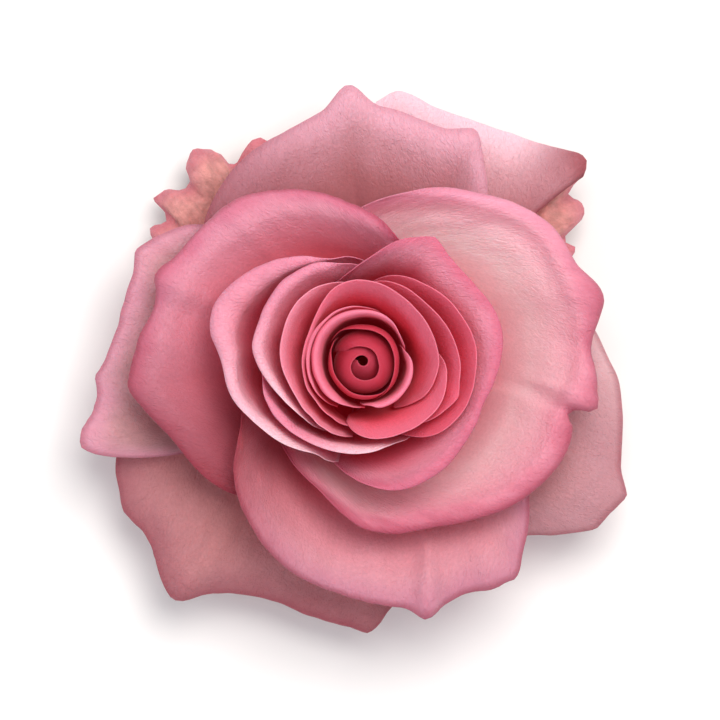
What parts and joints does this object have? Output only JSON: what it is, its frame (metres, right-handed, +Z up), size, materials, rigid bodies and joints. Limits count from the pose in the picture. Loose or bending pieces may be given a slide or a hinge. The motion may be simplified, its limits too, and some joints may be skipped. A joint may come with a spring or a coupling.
{
  "type": "garden rose bloom",
  "caption": "Open garden rose bloom with spiralled petals, sepals and a cut stalk, lying face up on its sepals.",
  "frame": {"origin": "middle of the base of the bloom's bounding box, on the surface that it rests on", "axes": "+Z up through the eye of the bloom, +Y towards the pointed north petal, +X east"},
  "size_m": [0.1148, 0.1146, 0.0489],
  "materials": {
    "heart_red": "matte",
    "bud_rose": "matte",
    "ring_pink": "matte",
    "cup_pink": "matte",
    "bowl_pink": "matte",
    "outer_blush": "matte",
    "guard_salmon": "matte",
    "sepal_green": "matte",
    "hip_green": "matte",
    "style_cream": "matte",
    "stamen_yellow": "matte"
  },
  "bodies": {
    "root": {"heart_petal": "heart_red", "core_petal_west": "heart_red", "core_petal_east": "heart_red", "bud_petal_east": "bud_rose", "bud_petal_north": "bud_rose", "bud_petal_west": "bud_rose", "ring_petal_north": "ring_pink", "ring_petal_south": "ring_pink", "ring_petal_west": "ring_pink", "ring_petal_east": "ring_pink", "ring_petal_far_east": "ring_pink", "cup_petal_south_west": "cup_pink", "cup_petal_north_west": "cup_pink", "cup_petal_east": "cup_pink", "cup_petal_west": "cup_pink", "bowl_petal_west": "bowl_pink", "bowl_petal_south": "bowl_pink", "bowl_petal_east": "bowl_pink", "outer_petal_north": "outer_blush", "outer_petal_west": "outer_blush", "outer_petal_south_west": "outer_blush", "outer_petal_north_east": "outer_blush", "outer_petal_east": "outer_blush", "guard_petal_north_west": "guard_salmon", "guard_petal_north_east": "guard_salmon", "sepal_1": "sepal_green", "sepal_2": "sepal_green", "sepal_3": "sepal_green", "sepal_4": "sepal_green", "sepal_5": "sepal_green", "hip": "hip_green", "styles": "style_cream", "stamens": "stamen_yellow"}
  },
  "joints": []
}
